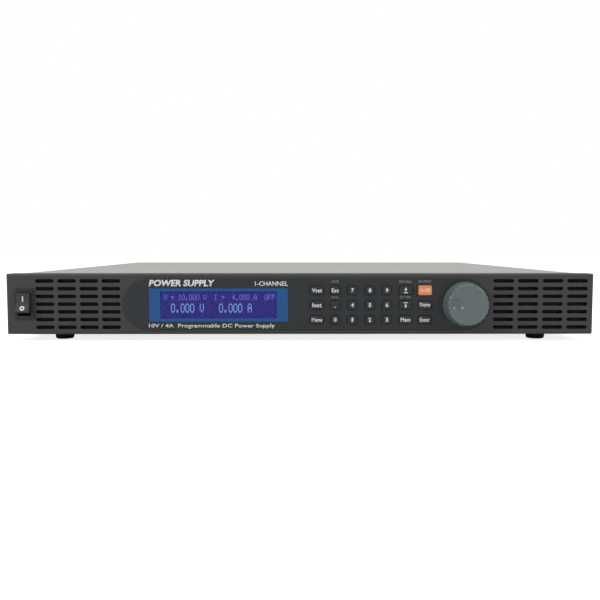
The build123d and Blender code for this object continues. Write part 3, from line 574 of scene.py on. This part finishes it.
DOTS = {
    "0": "01110 10001 10001 10001 10001 10001 01110",
    "1": "00100 01100 00100 00100 00100 00100 01110",
    "4": "00010 00110 01010 10010 11111 00010 00010",
    "V": "10001 10001 10001 10001 10001 01010 00100",
    "I": "01110 00100 00100 00100 00100 00100 01110",
    "A": "01110 10001 10001 11111 10001 10001 10001",
    "O": "01110 10001 10001 10001 10001 10001 01110",
    "F": "11111 10000 10000 11110 10000 10000 10000",
    "=": "00000 00000 11111 00000 11111 00000 00000",
    ".": "00000 00000 00000 00000 00000 01100 01100",
}


DOT_HALF = 0.46


def dot_row(words, first_x, middle_z, step_x, step_z):
    """Characters five dots wide and seven high, from the first one's middle."""
    faces = []
    half_x, half_z = step_x * DOT_HALF, step_z * DOT_HALF
    for place, letter in enumerate(words):
        for row, bits in enumerate(DOTS.get(letter, "").split()):
            for column, bit in enumerate(bits):
                if bit == "0":
                    continue
                x = first_x + (place * 6 + column - 2) * step_x
                z = middle_z + (3 - row) * step_z
                sides = ((-half_x, -half_z), (half_x, -half_z), (half_x, half_z), (-half_x, half_z))
                faces.append([on_front(x + dx, z + dz, GLASS_Y - INK_GAP) for dx, dz in sides])
    return inked([mesh_from("dots", faces)], FORWARDS)


dress(lit("display_violet", (0.013, 0.008, 0.175)), "lcd_module")
small_dots = dot_row("V = 10.000 V  I =  4.000 A  OFF", -97.4, 26.5, 0.432, 0.58)
large_dots = dot_row("0.000 V   0.000 A", -92.0, 18.7, 0.577, 0.93)
add_piece("display_settings", small_dots, lit("dim_dots", (0.150, 0.165, 0.56)), "case")
add_piece("display_readings", large_dots, lit("bright_dots", (0.21, 0.35, 0.80)), "case")

# ---------------------------------------------------------------------------------------------
# Keys: silicone caps in nearly the panel's own dark grey, the output key in orange, with the
# legends printed on their tops. Each legend travels with its key.
KEY_WORDS = {
    "vset": ("Vset", 7.2, 2.9),
    "iset": ("Iset", 6.8, 2.9),
    "menu": ("Menu", 7.4, 2.9),
    "esc": ("Esc", 5.2, 2.9),
    "mem": ("Mem", 7.0, 2.9),
    "output": ("On/Off", 7.2, 2.8),
    "display": ("Display", 7.8, 3.3),
    "enter": ("Enter", 7.4, 2.9),
    "dot": (".", 0.8, 0.8),
    "1": ("1", 1.2, 2.9),
}
DIGIT_SIZE = (2.0, 2.9)
ARROW_SHAPES = (
    ((-0.28, -0.9), (0.28, -0.9), (0.28, 0.4), (-0.28, 0.4)),
    ((-1.0, 0.3), (1.0, 0.3), (0.0, 2.1)),
    ((-1.5, -2.0), (1.5, -2.0), (1.5, -1.5), (-1.5, -1.5)),
)
DOT_DROP = 2.0
DIGIT_WEIGHT = 0.03
WORD_WEIGHT = 0.018
key_silicone = moulded(
    "key_silicone", (0.036, 0.040, 0.043), 0.5, tint=0.10, patch=0.05, scale=2000.0, bump=0.2,
    specular_ior_level=0.35,
)
orange_silicone = moulded(
    "orange_silicone", (0.90, 0.29, 0.125), 0.5, tint=0.08, patch=0.08, scale=2000.0
)
peach_ink = ink("peach_ink", (0.98, 0.86, 0.74))


def key_legend(key, x, z, y):
    """The words of a key, or an arrow with a bar: up for recall, down for store."""
    if key in ("recall", "store"):
        turn = 1 if key == "recall" else -1
        return mesh_from("arrow", [
            [on_front(x + dx, z + turn * dz, y - INK_GAP) for dx, dz in shape]
            for shape in ARROW_SHAPES
        ])
    words, width, height = KEY_WORDS.get(key, (key, *DIGIT_SIZE))
    low = z - (DOT_DROP if key == "dot" else height / 2)
    weight = DIGIT_WEIGHT if len(words) == 1 else WORD_WEIGHT
    return type_mesh(words, x - width / 2, x + width / 2, low, low + height, y, weight)


for node in [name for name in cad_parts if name.startswith("key_")]:
    key = node[len("key_"):]
    low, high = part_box(node)
    middle_x = (low.x + high.x) / 2 / MM
    middle_z = ((low.z + high.z) / 2 - FRONT_EDGE_Z) / MM
    legend = key_legend(key, middle_x, middle_z, low.y)
    is_output = key == "output"
    dress(orange_silicone if is_output else key_silicone, node)
    add_piece(
        node + "_print", inked([legend], FORWARDS), peach_ink if is_output else white_ink, node,
    )
dress(moulded("mat_silicone", (0.20, 0.20, 0.21), 0.6, tint=0.08), "keypad_mat")

# ---------------------------------------------------------------------------------------------
# Knob: a blue-grey soft-touch moulding, scalloped round its edge and dimpled for a fingertip,
# pressed on the flatted steel shaft of the encoder behind the panel.
dress(
    moulded("knob_grey", (0.122, 0.160, 0.163), 0.40, tint=0.08, patch=0.10, scale=1600.0, bump=0.15,
            coat_weight=0.75, coat_roughness=0.14),
    "knob",
)
dress(drawn("shaft_steel", (0.6, 0.6, 0.58), 0.28), "encoder_shaft")
dress(moulded("encoder_black", (0.02, 0.02, 0.02), 0.45, tint=0.12), "encoder_body")
dress(moulded("white_nylon", (0.72, 0.72, 0.66), 0.45, tint=0.04), "encoder_pusher", "standoffs")

# ---------------------------------------------------------------------------------------------
# Mains switch: a black snap-in housing and a rocker with a bar printed on its upper slope and
# a ring on its lower one. It is on at rest, so the upper slope is the one pressed in.
switch_black = moulded("switch_black", (0.022, 0.021, 0.022), 0.40, tint=0.2, patch=0.2, scale=1500.0)
dress(switch_black, "switch_housing")
rocker_black = moulded(
    "rocker_black", (0.042, 0.040, 0.044), 0.36, tint=0.35, patch=0.3, scale=900.0, bump=0.35
)
dress(rocker_black, "rocker")
rocker_low, rocker_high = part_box("rocker")
ROCKER_X = (rocker_low.x + rocker_high.x) / 2 / MM
LOOK_FROM = 50.0
BACKWARDS = (0, 1, 0)
mark_ink = ink("mark_ink", (0.85, 0.86, 0.86))


def on_rocker(outlines, middle_z, reach):
    """Flat shapes laid on the slope that is found by looking straight in at a height."""
    ends = []
    for z in (middle_z - reach, middle_z + reach):
        eye = on_front(ROCKER_X, z, FRONT_FACE_Y - LOOK_FROM * MM)
        ends.append(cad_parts["rocker"].ray_cast(eye, Vector(BACKWARDS))[1])
    up = (ends[1] - ends[0]).normalized()
    right = Vector((1, 0, 0))
    outwards = right.cross(up).normalized()
    outwards *= -1 if outwards.y > 0 else 1
    middle = (ends[0] + ends[1]) / 2 + outwards * INK_GAP
    shapes = [[middle + right * a * MM + up * b * MM for a, b in outline] for outline in outlines]
    return inked([mesh_from("mark", shapes)], outwards)


def ring_outlines(inner, outer, count=28):
    """A flat ring in short pieces."""
    turns = [2 * math.pi * n / count for n in range(count + 1)]
    spokes = [(math.cos(turn), math.sin(turn)) for turn in turns]
    return [
        [(inner * a, inner * b), (outer * a, outer * b), (outer * c, outer * d), (inner * c, inner * d)]
        for (a, b), (c, d) in zip(spokes, spokes[1:])
    ]


BAR_HEIGHT = 25.7
RING_HEIGHT = 19.2
MARK_REACH = 1.5
bar_outline = [(-0.42, -1.9), (0.42, -1.9), (0.42, 1.9), (-0.42, 1.9)]
bar = on_rocker([bar_outline], BAR_HEIGHT, MARK_REACH)
ring = on_rocker(ring_outlines(0.7, 1.75), RING_HEIGHT, MARK_REACH)
add_piece("rocker_bar", bar, mark_ink, "rocker")
add_piece("rocker_ring", ring, mark_ink, "rocker")

# ---------------------------------------------------------------------------------------------
# Rear fans: three small black axial fans behind stamped guards, each with a foil disc stuck on
# its hub.
HUB_DISC = 8.5
HUB_EYE = 0.4
fan_black = moulded("fan_black", (0.02, 0.02, 0.021), 0.5, tint=0.15)
dress(fan_black, "fan_frames", "fan_rotor_1", "fan_rotor_2", "fan_rotor_3")
dress(drawn("guard_plate", (0.62, 0.62, 0.60), 0.25), "fan_guards")
foil_disc = drawn("foil_disc", (0.70, 0.71, 0.72), 0.3, streak=0.06)
for number in (1, 2, 3):
    low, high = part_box(f"fan_rotor_{number}")
    middle_x = (low.x + high.x) / 2 / MM
    middle_z = ((low.z + high.z) / 2 - FRONT_EDGE_Z) / MM
    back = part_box("fan_frames")[1].y + INK_GAP
    shapes = [
        [on_front(middle_x + a, middle_z + b, back) for a, b in outline]
        for outline in ring_outlines(HUB_EYE, HUB_DISC)
    ]
    disc = inked([mesh_from("disc", shapes)], BACKWARDS)
    add_piece(f"hub_disc_{number}", disc, foil_disc, "case")

# ---------------------------------------------------------------------------------------------
# Rear panel: the mains inlet, the data and sense connectors, the ground stud and the copper
# output bars on their insulator, with plain printed words beside them.
dress(moulded("inlet_black", (0.02, 0.02, 0.02), 0.42, tint=0.15), "ac_inlet", "output_insulator")
dress(drawn("port_nickel", (0.63, 0.62, 0.58), 0.28), "usb_port", "data_jacks", "dsub_connector")
dress(moulded("terminal_green", (0.02, 0.20, 0.055), 0.42), "sense_terminal_block")
dress(drawn("bar_copper", (0.72, 0.36, 0.20), 0.35, streak=0.2), "output_bars")
dress(drawn("stud_brass", (0.70, 0.52, 0.22), 0.32), "ground_stud")
REAR_WALL_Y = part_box("bottom_chassis")[1].y
LETTER_HEIGHT = 2.4
LETTER_WIDTH = 2.0
LETTER_WEIGHT = 0.01
dark_ink = ink("dark_ink", (0.03, 0.03, 0.032))


def beside(node, words, rise, shift=0.0):
    """Words centred on a connector, above its top (rise over 0) or below its lower edge."""
    low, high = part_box(node)
    middle = (low.x + high.x) / 2 / MM + shift
    half = len(words) * LETTER_WIDTH / 2
    edge = ((high.z if rise > 0 else low.z) - FRONT_EDGE_Z) / MM + rise
    base = edge if rise > 0 else edge - LETTER_HEIGHT
    x0, x1, z1 = middle - half, middle + half, base + LETTER_HEIGHT
    return type_mesh(words, x0, x1, base, z1, REAR_WALL_Y, LETTER_WEIGHT, facing=1)


def bars_mesh(x, z, y, bars):
    """Printed bars about a point: each is its middle and its half sizes, in millimetres."""
    corners = ((-1, -1), (1, -1), (1, 1), (-1, 1))
    return mesh_from("bars", [
        [on_front(x + cx + a * hx, z + cz + b * hz, y) for a, b in corners]
        for cx, cz, hx, hz in bars
    ])


EARTH_SIGN = ((0, 1.1, 0.18, 1.0), (0, 0, 1.7, 0.18), (0, -0.75, 1.1, 0.18), (0, -1.5, 0.5, 0.18))
EARTH_RISE = 3.6
stud_low, stud_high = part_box("ground_stud")
earth_sign = bars_mesh(
    (stud_low.x + stud_high.x) / 2 / MM, (stud_high.z - FRONT_EDGE_Z) / MM + EARTH_RISE,
    REAR_WALL_Y + INK_GAP, EARTH_SIGN,
)
rear_words = [
    beside("ac_inlet", "AC INPUT", 1.6),
    beside("sense_terminal_block", "SENSE", 1.6),
    beside("dsub_connector", "REMOTE", -1.2),
    beside("usb_port", "USB", -1.2),
    beside("data_jacks", "IN", -1.2, 8.7),
    beside("data_jacks", "OUT", -1.2, -8.7),
    earth_sign,
]
add_piece("rear_print", inked(rear_words, BACKWARDS), dark_ink, "case")

bars_low, bars_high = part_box("output_bars")
flange_low, flange_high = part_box("output_insulator")
BAR_SPREAD = 0.32
SIGN_DROP = 6.0
flange_middle = (flange_low.x + flange_high.x) / 2
mark_z = flange_high.z - SIGN_DROP * MM
for sign_name, side, sign in (
    ("minus_sign", -1, ((0, 0, 1.5, 0.3),)),
    ("plus_sign", 1, ((0, 0, 1.5, 0.3), (0, 0.9, 0.3, 0.6), (0, -0.9, 0.3, 0.6))),
):
    sign_x = flange_middle + side * BAR_SPREAD * (bars_high.x - bars_low.x)
    eye = Vector((sign_x, flange_high.y + LOOK_FROM * MM, mark_z))
    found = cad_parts["output_insulator"].ray_cast(eye, Vector(FORWARDS))[1]
    sign_mesh = bars_mesh(sign_x / MM, (mark_z - FRONT_EDGE_Z) / MM, found.y + INK_GAP, sign)
    add_piece(sign_name, inked([sign_mesh], BACKWARDS), white_ink, "case")

# ---------------------------------------------------------------------------------------------
# Inside: green circuit boards, finned aluminium heatsinks, sleeved capacitors, wound parts on
# ferrite cores and the grey flat cable, screwed or soldered in place in the tray.
board_green = moulded(
    "board_green", (0.012, 0.10, 0.035), 0.30, tint=0.2, patch=0.3, scale=700.0, coat_weight=0.3
)
dress(board_green, "front_board", "main_board", "interface_board")
dress(moulded("can_sleeve", (0.015, 0.025, 0.09), 0.3, tint=0.06), "bulk_capacitors")
dress(drawn("sink_aluminium", (0.68, 0.68, 0.69), 0.35), "heatsinks")
dress(moulded("core_ferrite", (0.04, 0.038, 0.036), 0.6, tint=0.2), "power_transformers", "chokes")
dress(moulded("flat_cable", (0.32, 0.32, 0.34), 0.5, tint=0.08), "ribbon_cable")
